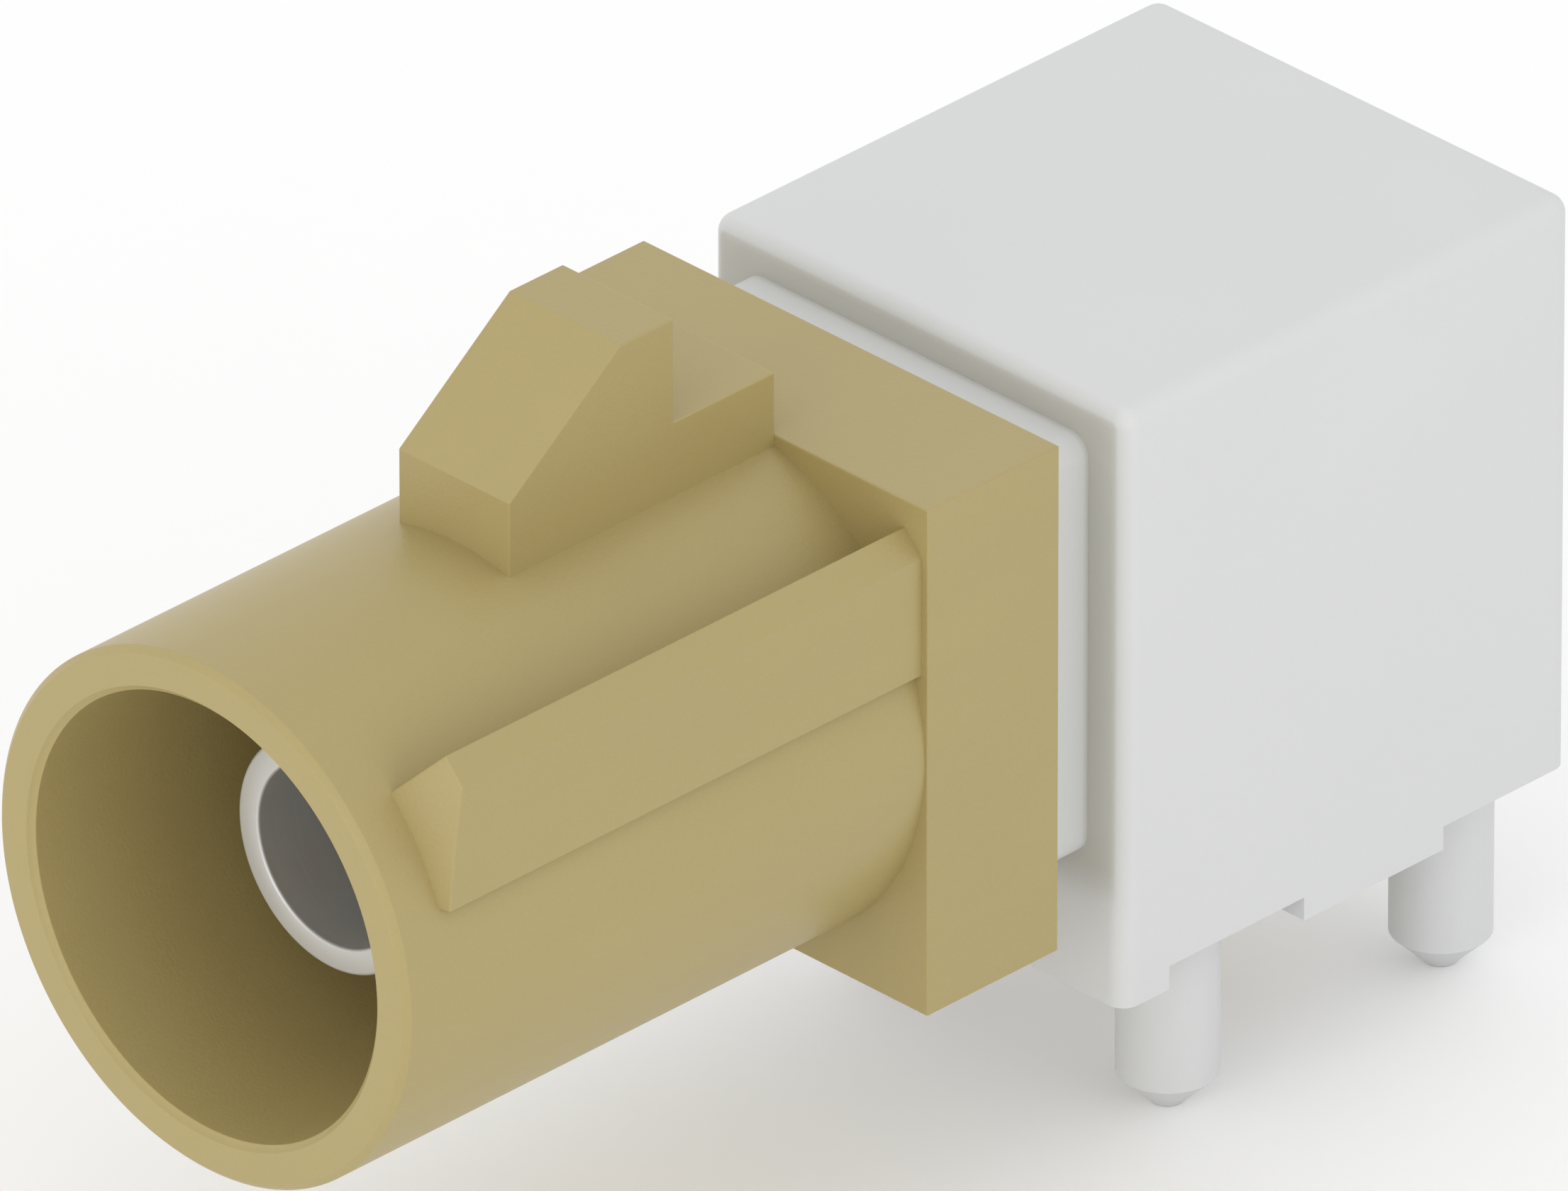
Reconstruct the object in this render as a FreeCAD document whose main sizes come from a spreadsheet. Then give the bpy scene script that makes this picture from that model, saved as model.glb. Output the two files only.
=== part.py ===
import FreeCAD, Part
import os
import re
import Sketcher

# Right-angle coaxial plug for a printed circuit board, with a coded plastic shroud.
#
# Frame: origin in the middle of the four board posts, on the plane where the block seats on the board.
# +Z points away from the board, and the mouth of the shroud faces -Y.
# The contact axis runs along Y at the height axis_height.
# The shroud and all that lies on the contact axis are drawn from the middle of the flange's back face.

SIZES = [
    # Metal block and what stands on the board
    ("axis_height", 5.83, "contact axis above the board"),
    ("block_width", 8.5, "block and flange across"),
    ("block_length", 9.28, "block front to back"),
    ("block_front", 5.2, "block front face ahead of the post centre"),
    ("block_edge_radius", 0.3, "rounding of the cast edges"),
    ("post_spacing_across", 5.7, "posts left to right"),
    ("post_spacing_along", 5.7, "posts front to back"),
    ("post_diameter", 1.55, "board post"),
    ("post_length", 3.0, "posts and signal tail below the board plane"),
    ("post_tip_diameter", 0.5, "flat end of a post"),
    ("relief_size", 2.8, "solder relief round a post, square"),
    ("relief_depth", 0.39, "solder relief above the board"),
    # Neck and spigot that carry the shroud
    ("neck_inset", 0.75, "neck in from the sides of block and flange"),
    ("neck_drop", 0.72, "neck in from the top and the bottom of the flange"),
    ("block_shoulder", 0.63, "block above the neck"),
    ("neck_edge_radius", 0.35, "rounded edges of the neck"),
    ("neck_gap", 1.35, "neck in view between block and flange"),
    ("socket_depth", 1.8, "neck inside the flange"),
    ("spigot_diameter", 5.0, "round spigot ahead of the neck"),
    ("lip_height", 0.2, "retaining lip over the spigot"),
    ("lip_length", 0.5, "retaining lip, with its lead-in"),
    ("shroud_clearance", 0.03, "shroud round the neck and the spigot, each side"),
    # Bores in the metal
    ("sleeve_outer", 3.7, "outer contact, outside"),
    ("sleeve_wall", 0.41, "wall of the outer contact"),
    ("sleeve_seat", 1.65, "outer contact seated behind the block front"),
    ("cavity_diameter", 4.2, "space round the joint of contact and tail"),
    ("cavity_lead", 1.5, "front wall of that space ahead of the tail axis"),
    ("cap_ledge", 0.4, "rear cap wider than that space, each side"),
    ("cap_thickness", 1.0, "rear cap"),
    ("cap_chamfer", 0.15, "edge of the rear cap"),
    ("bush_diameter", 2.9, "insulating bush round the tail"),
    ("bush_drop", 0.13, "top of the bush below the floor of that space"),
    ("bush_recess", 0.2, "foot of the bush above the board"),
    # Contacts
    ("sleeve_recess", 2.56, "outer contact behind the mouth"),
    ("groove_start", 1.2, "snap groove behind the outer contact's front"),
    ("groove_width", 0.8, "snap groove"),
    ("groove_depth", 0.13, "depth of the snap groove"),
    ("bead_recess", 3.9, "front bead behind the outer contact's front"),
    ("contact_diameter", 0.86, "centre contact inside the bead"),
    ("pin_diameter", 0.5, "mating pin"),
    ("pin_recess", 0.6, "pin tip behind the outer contact's front"),
    ("pin_tip_diameter", 0.24, "flat end of the mating pin"),
    ("pin_tip_length", 0.2, "taper of the mating pin's end"),
    ("pin_shoulder", 0.18, "cone from the contact to the pin"),
    ("head_diameter", 1.6, "cross-drilled head of the contact"),
    ("head_back", 0.9, "head behind the tail axis"),
    ("tail_diameter", 0.9, "signal tail"),
    ("tail_tip_diameter", 0.4, "flat end of the tail"),
    ("collar_diameter", 1.5, "collar of the tail on the bush"),
    ("collar_height", 0.4, "collar of the tail"),
    # Plastic shroud
    ("tube_diameter", 8.4, "shroud tube, outside"),
    ("tube_wall", 0.7, "wall of the shroud tube"),
    ("mouth_reach", 13.2, "mouth ahead of the flange's back face"),
    ("mouth_bevel", 0.1, "bevels at the mouth, inside and outside, 45 degrees"),
    ("web_thickness", 1.6, "wall that the spigot snaps through"),
    ("flange_step", 0.02, "flange above and below the tube"),
    ("flange_thickness", 2.69, "flange"),
    ("latch_width", 2.26, "latch nose across"),
    ("latch_front", 8.08, "front of the nose ahead of the flange's back face"),
    ("latch_rib_height", 1.07, "rib of the nose over the tube"),
    ("latch_tooth_height", 1.71, "crest of the nose over its rib"),
    ("latch_crest_front", 5.83, "front of the crest ahead of the flange's back face"),
    ("latch_crest_back", 4.745, "back of the crest ahead of the flange's back face"),
    ("key_height", 1.14, "coding rib, round outer edge over the tube"),
    ("key_side_inset", 0.07, "coding rib, flat side in from the side of the tube"),
    ("key_foot", 1.43, "coding rib, lower face above the contact axis"),
    ("key_angle", 45.0, "coding rib, upper face, degrees above level"),
    ("key_recess", 0.9, "foot of the rib's lead-in behind the mouth"),
    ("key_lead_angle", 15.0, "slope of the lead-in, degrees"),
]

# Places that follow from the sizes
FLANGE_BACK = "(block_front + neck_gap)"
NECK_FRONT = "(block_front + neck_gap + socket_depth)"
WEB_FRONT = "(socket_depth + web_thickness)"
SPIGOT_STEP = "(block_front + neck_gap + socket_depth + web_thickness)"
SPIGOT_FRONT = "(block_front + neck_gap + socket_depth + web_thickness + lip_length)"
BLOCK_BACK = "(block_length - block_front)"
SLEEVE_FRONT = "(mouth_reach - sleeve_recess)"
BEAD_FRONT = "(mouth_reach - sleeve_recess - bead_recess)"
BEAD_BACK = "(block_front + neck_gap - cavity_lead)"
TUBE_RADIUS = "(tube_diameter / 2)"
BORE_RADIUS = "(tube_diameter / 2 - tube_wall)"
WALL_MIDDLE = "(tube_diameter / 2 - tube_wall / 2)"
WEB_HOLE = "(spigot_diameter / 2 + shroud_clearance)"
FLANGE_TOP = "(tube_diameter / 2 + flange_step)"
NECK_SIDE = "(block_width / 2 - neck_inset)"
NECK_TOP = "(tube_diameter / 2 + flange_step - neck_drop)"
BLOCK_HEIGHT = "(axis_height + tube_diameter / 2 + flange_step - neck_drop + block_shoulder)"
KEY_RADIUS = "(tube_diameter / 2 + key_height)"
KEY_SIDE = "(tube_diameter / 2 - key_side_inset)"
KEY_FRONT = "(mouth_reach - key_recess)"
LATCH_RIB_TOP = "(tube_diameter / 2 + latch_rib_height)"
LATCH_CREST = "(tube_diameter / 2 + latch_rib_height + latch_tooth_height)"
SLEEVE_BORE = "(sleeve_outer / 2 - sleeve_wall)"
CAP_RADIUS = "(cavity_diameter / 2 + cap_ledge)"
BUSH_TOP = "(axis_height - cavity_diameter / 2 - bush_drop)"

NAMES = {name for name, number, note in SIZES}
WORD = re.compile(r"[a-z_]+")


def bound(term):
    """The term with each size written as a cell of the sheet."""
    return WORD.sub(lambda match: "Sizes." + match.group() if match.group() in NAMES else match.group(), term)


def bind(item, path, term):
    """Ties one property of an item to a term in the sizes."""
    item.setExpression(path, bound(term))


def number(item, term):
    """What a term in the sizes comes to."""
    return float(item.evalExpression(bound(term)))


def size_sheet(doc):
    """The sheet of driving sizes: name, value and meaning in each row."""
    sheet = doc.addObject("Spreadsheet::Sheet", "Sizes")
    for row, (name, value, note) in enumerate(SIZES, start=1):
        sheet.set(f"A{row}", name)
        sheet.set(f"B{row}", str(value))
        sheet.set(f"C{row}", note)
        sheet.setAlias(f"B{row}", name)
    doc.recompute()
    return sheet


# Drawing tools

def new_body(doc, label, along="0", up="0"):
    """An empty body whose origin lies at (0, along, up) in the part's frame."""
    body = doc.addObject("PartDesign::Body", label)
    body.Label = label
    bind(body, ".Placement.Base.y", along)
    bind(body, ".Placement.Base.z", up)
    return body


def sketch_on(body, name, role, ahead="0", lift="0"):
    """A sketch on one of the body's own planes, moved along the plane's normal and up in the plane."""
    sketch = body.newObject("Sketcher::SketchObject", name)
    plane = next(item for item in body.Origin.OriginFeatures if item.Role == role)
    sketch.AttachmentSupport = [(plane, "")]
    sketch.MapMode = "FlatFace"
    bind(sketch, ".AttachmentOffset.Base.y", lift)
    bind(sketch, ".AttachmentOffset.Base.z", ahead)
    return sketch


def hold(sketch, edge, point, kind, term):
    """Fixes one coordinate of a point in a sketch."""
    if term == "0":
        axis = -2 if kind == "DistanceX" else -1
        sketch.addConstraint(Sketcher.Constraint("PointOnObject", edge, point, axis))
        return
    held = Sketcher.Constraint(kind, -1, 1, edge, point, number(sketch, term))
    place = sketch.addConstraint(held)
    bind(sketch, f"Constraints[{place}]", term)


def outline(sketch, corners):
    """A closed outline of straight edges, each corner a pair of terms in the sizes."""
    points = [FreeCAD.Vector(number(sketch, x), number(sketch, y), 0) for x, y in corners]
    first = sketch.GeometryCount
    count = len(points)
    for i in range(count):
        sketch.addGeometry(Part.LineSegment(points[i], points[(i + 1) % count]), False)
    for i in range(count):
        joined = Sketcher.Constraint("Coincident", first + i, 2, first + (i + 1) % count, 1)
        sketch.addConstraint(joined)
    for i, (x, y) in enumerate(corners):
        hold(sketch, first + i, 1, "DistanceX", x)
        hold(sketch, first + i, 1, "DistanceY", y)


def box_outline(sketch, left, bottom, right, top):
    """A closed rectangle between two corners."""
    outline(sketch, [(left, bottom), (right, bottom), (right, top), (left, top)])


def circle(sketch, x, y, diameter):
    """A circle with its centre at a pair of terms in the sizes."""
    centre = FreeCAD.Vector(number(sketch, x), number(sketch, y), 0)
    radius = number(sketch, diameter) / 2
    edge = sketch.addGeometry(Part.Circle(centre, FreeCAD.Vector(0, 0, 1), radius), False)
    hold(sketch, edge, 3, "DistanceX", x)
    hold(sketch, edge, 3, "DistanceY", y)
    place = sketch.addConstraint(Sketcher.Constraint("Diameter", edge, 2 * radius))
    bind(sketch, f"Constraints[{place}]", diameter)


def grow(body, kind, name, sketch, length, back=False, both_sides=False):
    """A pad or a pocket of a sketch."""
    feature = body.newObject("PartDesign::" + kind, name)
    feature.Profile = sketch
    feature.Reversed = back
    if both_sides:
        feature.SideType = "Symmetric"
    bind(feature, "Length", length)
    body.Document.recompute()
    return feature


def turn(body, kind, name, sketch, axis="H_Axis"):
    """A full revolution or groove of a sketch about one of its own axes."""
    feature = body.newObject("PartDesign::" + kind, name)
    feature.Profile = sketch
    feature.ReferenceAxis = (sketch, [axis])
    feature.Angle = 360
    body.Document.recompute()
    return feature


def dress(body, kind, name, base, chosen, path, term):
    """A fillet or a chamfer on the edges of the base that the test chooses."""
    edges = [f"Edge{i}" for i, edge in enumerate(base.Shape.Edges, start=1) if chosen(edge)]
    feature = body.newObject("PartDesign::" + kind, name)
    feature.Base = (base, edges)
    bind(feature, path, term)
    body.Document.recompute()
    return feature


def near(a, b):
    """Whether two lengths are the same."""
    return abs(a - b) < 1e-4


# Plastic shroud

def housing(doc):
    """Tube with an open mouth, square flange, latch nose, two coding ribs and the web for the spigot."""
    body = new_body(doc, "housing", f"-{FLANGE_BACK}", "axis_height")

    tube = sketch_on(body, "TubeProfile", "YZ_Plane")
    outline(tube, [
        ("0", WEB_HOLE),
        ("0", TUBE_RADIUS),
        ("-(mouth_reach - mouth_bevel)", TUBE_RADIUS),
        ("-mouth_reach", f"{TUBE_RADIUS} - mouth_bevel"),
        ("-mouth_reach", f"{BORE_RADIUS} + mouth_bevel"),
        ("-(mouth_reach - mouth_bevel)", BORE_RADIUS),
        (f"-{WEB_FRONT}", BORE_RADIUS),
        (f"-{WEB_FRONT}", WEB_HOLE),
    ])
    turn(body, "Revolution", "Tube", tube)

    # A coding rib is a wedge between a level foot, a flat side and a face that points at the axis.
    section = sketch_on(body, "KeySection", "XZ_Plane", ahead="flange_thickness")
    outline(section, [
        (f"{WALL_MIDDLE} * cos(key_angle)", f"{WALL_MIDDLE} * sin(key_angle)"),
        (KEY_SIDE, f"{KEY_SIDE} * tan(key_angle)"),
        (KEY_SIDE, "key_foot"),
        (f"sqrt({WALL_MIDDLE} ^ 2 - key_foot ^ 2)", "key_foot"),
    ])
    key = grow(body, "Pad", "Key", section, f"{KEY_FRONT} - flange_thickness")

    # The second rib lies half a turn round the tube.
    keys = body.newObject("PartDesign::PolarPattern", "Keys")
    keys.Originals = [key]
    keys.Axis = (next(item for item in body.Origin.OriginFeatures if item.Role == "Y_Axis"), [""])
    keys.Angle = 360
    keys.Occurrences = 2
    body.Tip = keys
    doc.recompute()

    # One turned cut rounds the ribs' outer edge and slopes their front end.
    trim = sketch_on(body, "KeyTrim", "YZ_Plane")
    slope = "tan(key_lead_angle) * key_height"
    outline(trim, [
        ("-flange_thickness", KEY_RADIUS),
        (f"-({KEY_FRONT} - {slope})", KEY_RADIUS),
        (f"-{KEY_FRONT}", TUBE_RADIUS),
        ("-mouth_reach", TUBE_RADIUS),
        ("-mouth_reach", f"2 * {KEY_RADIUS}"),
        ("-flange_thickness", f"2 * {KEY_RADIUS}"),
    ])
    turn(body, "Groove", "KeyEnds", trim)

    flange = sketch_on(body, "FlangeOutline", "XZ_Plane")
    box_outline(flange, "-block_width / 2", f"-{FLANGE_TOP}", "block_width / 2", FLANGE_TOP)
    grow(body, "Pad", "Flange", flange, "flange_thickness")

    nose = sketch_on(body, "LatchProfile", "YZ_Plane")
    outline(nose, [
        ("-flange_thickness", WALL_MIDDLE),
        ("-flange_thickness", LATCH_RIB_TOP),
        ("-latch_crest_back", LATCH_RIB_TOP),
        ("-latch_crest_back", LATCH_CREST),
        ("-latch_crest_front", LATCH_CREST),
        ("-latch_front", LATCH_RIB_TOP),
        ("-latch_front", WALL_MIDDLE),
    ])
    grow(body, "Pad", "LatchNose", nose, "latch_width", both_sides=True)

    mouth = sketch_on(body, "WebHole", "XZ_Plane")
    circle(mouth, "0", "0", f"2 * {WEB_HOLE}")
    grow(body, "Pocket", "SpigotHole", mouth, WEB_FRONT, back=True)

    socket = sketch_on(body, "SocketOutline", "XZ_Plane")
    socket_side = f"({NECK_SIDE} + shroud_clearance)"
    socket_top = f"({NECK_TOP} + shroud_clearance)"
    box_outline(socket, f"-{socket_side}", f"-{socket_top}", socket_side, socket_top)
    pocket = grow(body, "Pocket", "Socket", socket, "socket_depth", back=True)

    across = number(socket, socket_side)
    up = number(socket, socket_top)
    depth = number(socket, "socket_depth")

    def socket_corner(edge):
        middle = edge.CenterOfMass
        return near(abs(middle.x), across) and near(abs(middle.z), up) and near(edge.Length, depth)

    dress(body, "Fillet", "SocketCorners", pocket, socket_corner, "Radius", "neck_edge_radius")
    return body


# Metal casting

def cast_body(doc):
    """Block with solder reliefs and four posts, square neck, spigot with a lip, and the stepped bore."""
    body = new_body(doc, "body")

    front = sketch_on(body, "BlockOutline", "XZ_Plane", ahead="block_front")
    box_outline(front, "-block_width / 2", "0", "block_width / 2", BLOCK_HEIGHT)
    block = grow(body, "Pad", "Block", front, "block_length", back=True)
    block = dress(body, "Fillet", "CastEdges", block, lambda edge: edge.CenterOfMass.z > 1e-4,
                  "Radius", "block_edge_radius")

    # The reliefs run out through the sides and the back, so solder can be seen there.
    reliefs = sketch_on(body, "ReliefOutline", "XY_Plane")
    inner_x = "(post_spacing_across - relief_size) / 2"
    near_y = "(post_spacing_along - relief_size) / 2"
    far_y = "(post_spacing_along + relief_size) / 2"
    for side in ("-", ""):
        box_outline(reliefs, f"{side}({inner_x})", f"-({far_y})", f"{side}block_width / 2", f"-({near_y})")
        box_outline(reliefs, f"{side}({inner_x})", near_y, f"{side}block_width / 2", BLOCK_BACK)
    grow(body, "Pocket", "Reliefs", reliefs, "relief_depth", back=True)

    feet = sketch_on(body, "PostCircles", "XY_Plane", ahead="relief_depth")
    for x in ("-post_spacing_across / 2", "post_spacing_across / 2"):
        for y in ("-post_spacing_along / 2", "post_spacing_along / 2"):
            circle(feet, x, y, "post_diameter")
    posts = grow(body, "Pad", "Posts", feet, "relief_depth + post_length", back=True)
    tip_level = -number(feet, "post_length")
    dress(body, "Chamfer", "PostTips", posts, lambda edge: near(edge.CenterOfMass.z, tip_level),
          "Size", "(post_diameter - post_tip_diameter) / 2")

    square = sketch_on(body, "NeckOutline", "XZ_Plane", ahead="block_front", lift="axis_height")
    box_outline(square, f"-{NECK_SIDE}", f"-{NECK_TOP}", NECK_SIDE, NECK_TOP)
    neck = grow(body, "Pad", "Neck", square, "neck_gap + socket_depth")
    across = number(square, NECK_SIDE)
    reach = number(square, "neck_gap + socket_depth")

    def neck_corner(edge):
        return near(abs(edge.CenterOfMass.x), across) and near(edge.Length, reach)

    dress(body, "Fillet", "NeckEdges", neck, neck_corner, "Radius", "neck_edge_radius")

    spigot = sketch_on(body, "SpigotProfile", "YZ_Plane", lift="axis_height")
    outline(spigot, [
        (f"-{NECK_FRONT}", "0"),
        (f"-{NECK_FRONT}", "spigot_diameter / 2"),
        (f"-{SPIGOT_STEP}", "spigot_diameter / 2"),
        (f"-{SPIGOT_STEP}", "spigot_diameter / 2 + lip_height"),
        (f"-{SPIGOT_FRONT}", "spigot_diameter / 2"),
        (f"-{SPIGOT_FRONT}", "0"),
    ])
    turn(body, "Revolution", "Spigot", spigot)

    bore = sketch_on(body, "BoreProfile", "YZ_Plane", lift="axis_height")
    outline(bore, [
        (f"-{SPIGOT_FRONT}", "0"),
        (f"-{SPIGOT_FRONT}", "sleeve_outer / 2"),
        ("-(block_front - sleeve_seat)", "sleeve_outer / 2"),
        ("-(block_front - sleeve_seat)", SLEEVE_BORE),
        ("-cavity_lead", SLEEVE_BORE),
        ("-cavity_lead", "cavity_diameter / 2"),
        (f"{BLOCK_BACK} - cap_thickness", "cavity_diameter / 2"),
        (f"{BLOCK_BACK} - cap_thickness", CAP_RADIUS),
        (BLOCK_BACK, CAP_RADIUS),
        (BLOCK_BACK, "0"),
    ])
    turn(body, "Groove", "Bore", bore)

    tail = sketch_on(body, "TailBore", "XY_Plane")
    circle(tail, "0", "0", "bush_diameter")
    grow(body, "Pocket", "TailPassage", tail, "axis_height", back=True)
    return body


# Contacts and insulators

def outer_contact(doc):
    """Turned sleeve with a snap groove behind its front end."""
    body = new_body(doc, "outer_contact", f"-{FLANGE_BACK}", "axis_height")
    profile = sketch_on(body, "SleeveProfile", "YZ_Plane")
    groove_bottom = "sleeve_outer / 2 - groove_depth"
    groove_front = f"({SLEEVE_FRONT} - groove_start)"
    groove_back = f"({SLEEVE_FRONT} - groove_start - groove_width)"
    outline(profile, [
        ("neck_gap + sleeve_seat", SLEEVE_BORE),
        ("neck_gap + sleeve_seat", "sleeve_outer / 2"),
        (f"-{groove_back}", "sleeve_outer / 2"),
        (f"-({groove_back} + groove_depth)", groove_bottom),
        (f"-({groove_front} - groove_depth)", groove_bottom),
        (f"-{groove_front}", "sleeve_outer / 2"),
        (f"-{SLEEVE_FRONT}", "sleeve_outer / 2"),
        (f"-{SLEEVE_FRONT}", SLEEVE_BORE),
    ])
    turn(body, "Revolution", "Sleeve", profile)
    return body


def front_insulator(doc):
    """Long bead that holds the centre contact in the sleeve and in the block behind it."""
    body = new_body(doc, "front_insulator", f"-{FLANGE_BACK}", "axis_height")
    profile = sketch_on(body, "BeadProfile", "YZ_Plane")
    box_outline(profile, f"-{BEAD_FRONT}", "contact_diameter / 2", BEAD_BACK, SLEEVE_BORE)
    turn(body, "Revolution", "Bead", profile)
    return body


def centre_contact(doc):
    """Turned contact: thin mating pin, stem in the bead and a head drilled across for the tail."""
    body = new_body(doc, "centre_contact", f"-{FLANGE_BACK}", "axis_height")
    profile = sketch_on(body, "ContactProfile", "YZ_Plane")
    pin_tip = f"({SLEEVE_FRONT} - pin_recess)"
    outline(profile, [
        (f"{FLANGE_BACK} + head_back", "0"),
        (f"{FLANGE_BACK} + head_back", "head_diameter / 2"),
        (BEAD_BACK, "head_diameter / 2"),
        (BEAD_BACK, "contact_diameter / 2"),
        (f"-({BEAD_FRONT} - pin_shoulder)", "contact_diameter / 2"),
        (f"-{BEAD_FRONT}", "pin_diameter / 2"),
        (f"-({pin_tip} - pin_tip_length)", "pin_diameter / 2"),
        (f"-{pin_tip}", "pin_tip_diameter / 2"),
        (f"-{pin_tip}", "0"),
    ])
    turn(body, "Revolution", "Stem", profile)
    cross = sketch_on(body, "CrossHole", "XY_Plane")
    circle(cross, "0", FLANGE_BACK, "tail_diameter")
    grow(body, "Pocket", "TailHole", cross, "2 * head_diameter", both_sides=True)
    return body


def tail_insulator(doc):
    """Bush in the block's vertical bore."""
    body = new_body(doc, "tail_insulator")
    profile = sketch_on(body, "BushProfile", "XZ_Plane")
    box_outline(profile, "tail_diameter / 2", "bush_recess", "bush_diameter / 2", BUSH_TOP)
    turn(body, "Revolution", "Bush", profile, axis="V_Axis")
    return body


def tail_pin(doc):
    """Signal tail from the contact's head down through the bush to below the board."""
    body = new_body(doc, "tail_pin")
    profile = sketch_on(body, "TailProfile", "XZ_Plane")
    taper = "(tail_diameter - tail_tip_diameter) / 2"
    outline(profile, [
        ("0", "-post_length"),
        ("tail_tip_diameter / 2", "-post_length"),
        ("tail_diameter / 2", f"-post_length + {taper}"),
        ("tail_diameter / 2", BUSH_TOP),
        ("collar_diameter / 2", BUSH_TOP),
        ("collar_diameter / 2", f"{BUSH_TOP} + collar_height"),
        ("tail_diameter / 2", f"{BUSH_TOP} + collar_height"),
        ("tail_diameter / 2", "axis_height + head_diameter / 2"),
        ("0", "axis_height + head_diameter / 2"),
    ])
    turn(body, "Revolution", "Tail", profile, axis="V_Axis")
    return body


def rear_cap(doc):
    """Disc pressed into the back of the block, flush with it."""
    body = new_body(doc, "rear_cap", BLOCK_BACK, "axis_height")
    profile = sketch_on(body, "CapProfile", "YZ_Plane")
    outline(profile, [
        ("-cap_thickness", "0"),
        ("-cap_thickness", CAP_RADIUS),
        ("-cap_chamfer", CAP_RADIUS),
        ("0", f"{CAP_RADIUS} - cap_chamfer"),
        ("0", "0"),
    ])
    turn(body, "Revolution", "Cap", profile)
    return body


PIECES = [
    housing,
    cast_body,
    outer_contact,
    front_insulator,
    centre_contact,
    tail_insulator,
    tail_pin,
    rear_cap,
]


def check(doc, bodies):
    """Stops if any feature failed or any piece is not one valid solid."""
    failed = [item.Name for item in doc.Objects if "Invalid" in item.State or "Error" in item.State]
    if failed:
        raise RuntimeError("failed features: " + ", ".join(failed))
    for body in bodies:
        if body.Shape.isNull() or not body.Shape.isValid() or len(body.Shape.Solids) != 1:
            raise RuntimeError("bad shape: " + body.Label)


def main():
    doc = FreeCAD.newDocument("CoaxialPlug")
    size_sheet(doc)
    bodies = [piece(doc) for piece in PIECES]
    doc.recompute()
    check(doc, bodies)
    os.makedirs("parts", exist_ok=True)
    for body in bodies:
        body.Shape.exportStep(f"parts/{body.Label}.step")
        print(body.Label, round(body.Shape.Volume, 3), "mm3")


main()
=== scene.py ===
import math

import bmesh
import bpy
import numpy as np
from bpy.props import FloatProperty, FloatVectorProperty, PointerProperty
from bpy.types import Operator, Panel, PropertyGroup
from mathutils import Matrix, Vector


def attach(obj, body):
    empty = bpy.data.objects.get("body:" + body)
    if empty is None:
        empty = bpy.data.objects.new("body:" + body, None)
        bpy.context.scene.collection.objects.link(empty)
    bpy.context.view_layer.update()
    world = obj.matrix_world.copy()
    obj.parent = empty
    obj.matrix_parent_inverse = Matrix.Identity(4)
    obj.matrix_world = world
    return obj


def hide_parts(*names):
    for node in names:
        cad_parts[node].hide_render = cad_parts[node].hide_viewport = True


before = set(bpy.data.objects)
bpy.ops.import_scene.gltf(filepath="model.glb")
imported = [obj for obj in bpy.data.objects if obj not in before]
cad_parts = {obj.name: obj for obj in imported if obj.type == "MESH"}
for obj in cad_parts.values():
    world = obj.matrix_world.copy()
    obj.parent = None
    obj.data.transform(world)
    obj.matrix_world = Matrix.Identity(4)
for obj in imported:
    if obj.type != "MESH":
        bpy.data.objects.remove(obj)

bl_info = {
    "name": "Board Plug Finish",
    "version": (1, 0, 0),
    "blender": (4, 5, 0),
    "location": "3D View > Sidebar > Board Plug",
    "description": "Finishes a right-angle coaxial board plug and sets it on a studio stage",
    "category": "Object",
}

MM = 0.001

# Middle of the flange's back face, from which the shroud and the contacts are drawn
FLANGE_BACK = -6.55 * MM
AXIS_HEIGHT = 5.83 * MM


# Settings that a user may change

def length(name, description, millimetres):
    """A length that can be changed in the panel."""
    return FloatProperty(name=name, description=description, default=millimetres * MM,
                         subtype="DISTANCE", unit="LENGTH", precision=5)


def tilt(name, description, degrees):
    """An angle that can be changed in the panel."""
    return FloatProperty(name=name, description=description, default=math.radians(degrees),
                         subtype="ANGLE", unit="ROTATION")


def lamp_power(name, description, watts):
    """A lamp's power that can be changed in the panel."""
    return FloatProperty(name=name, description=description, default=watts, min=0.0, max=10.0,
                         unit="POWER", precision=4)


def paint(name, description, colour):
    """A colour that can be changed in the panel."""
    return FloatVectorProperty(name=name, description=description, default=colour,
                               subtype="COLOR", size=3, min=0.0, max=1.0)


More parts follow.
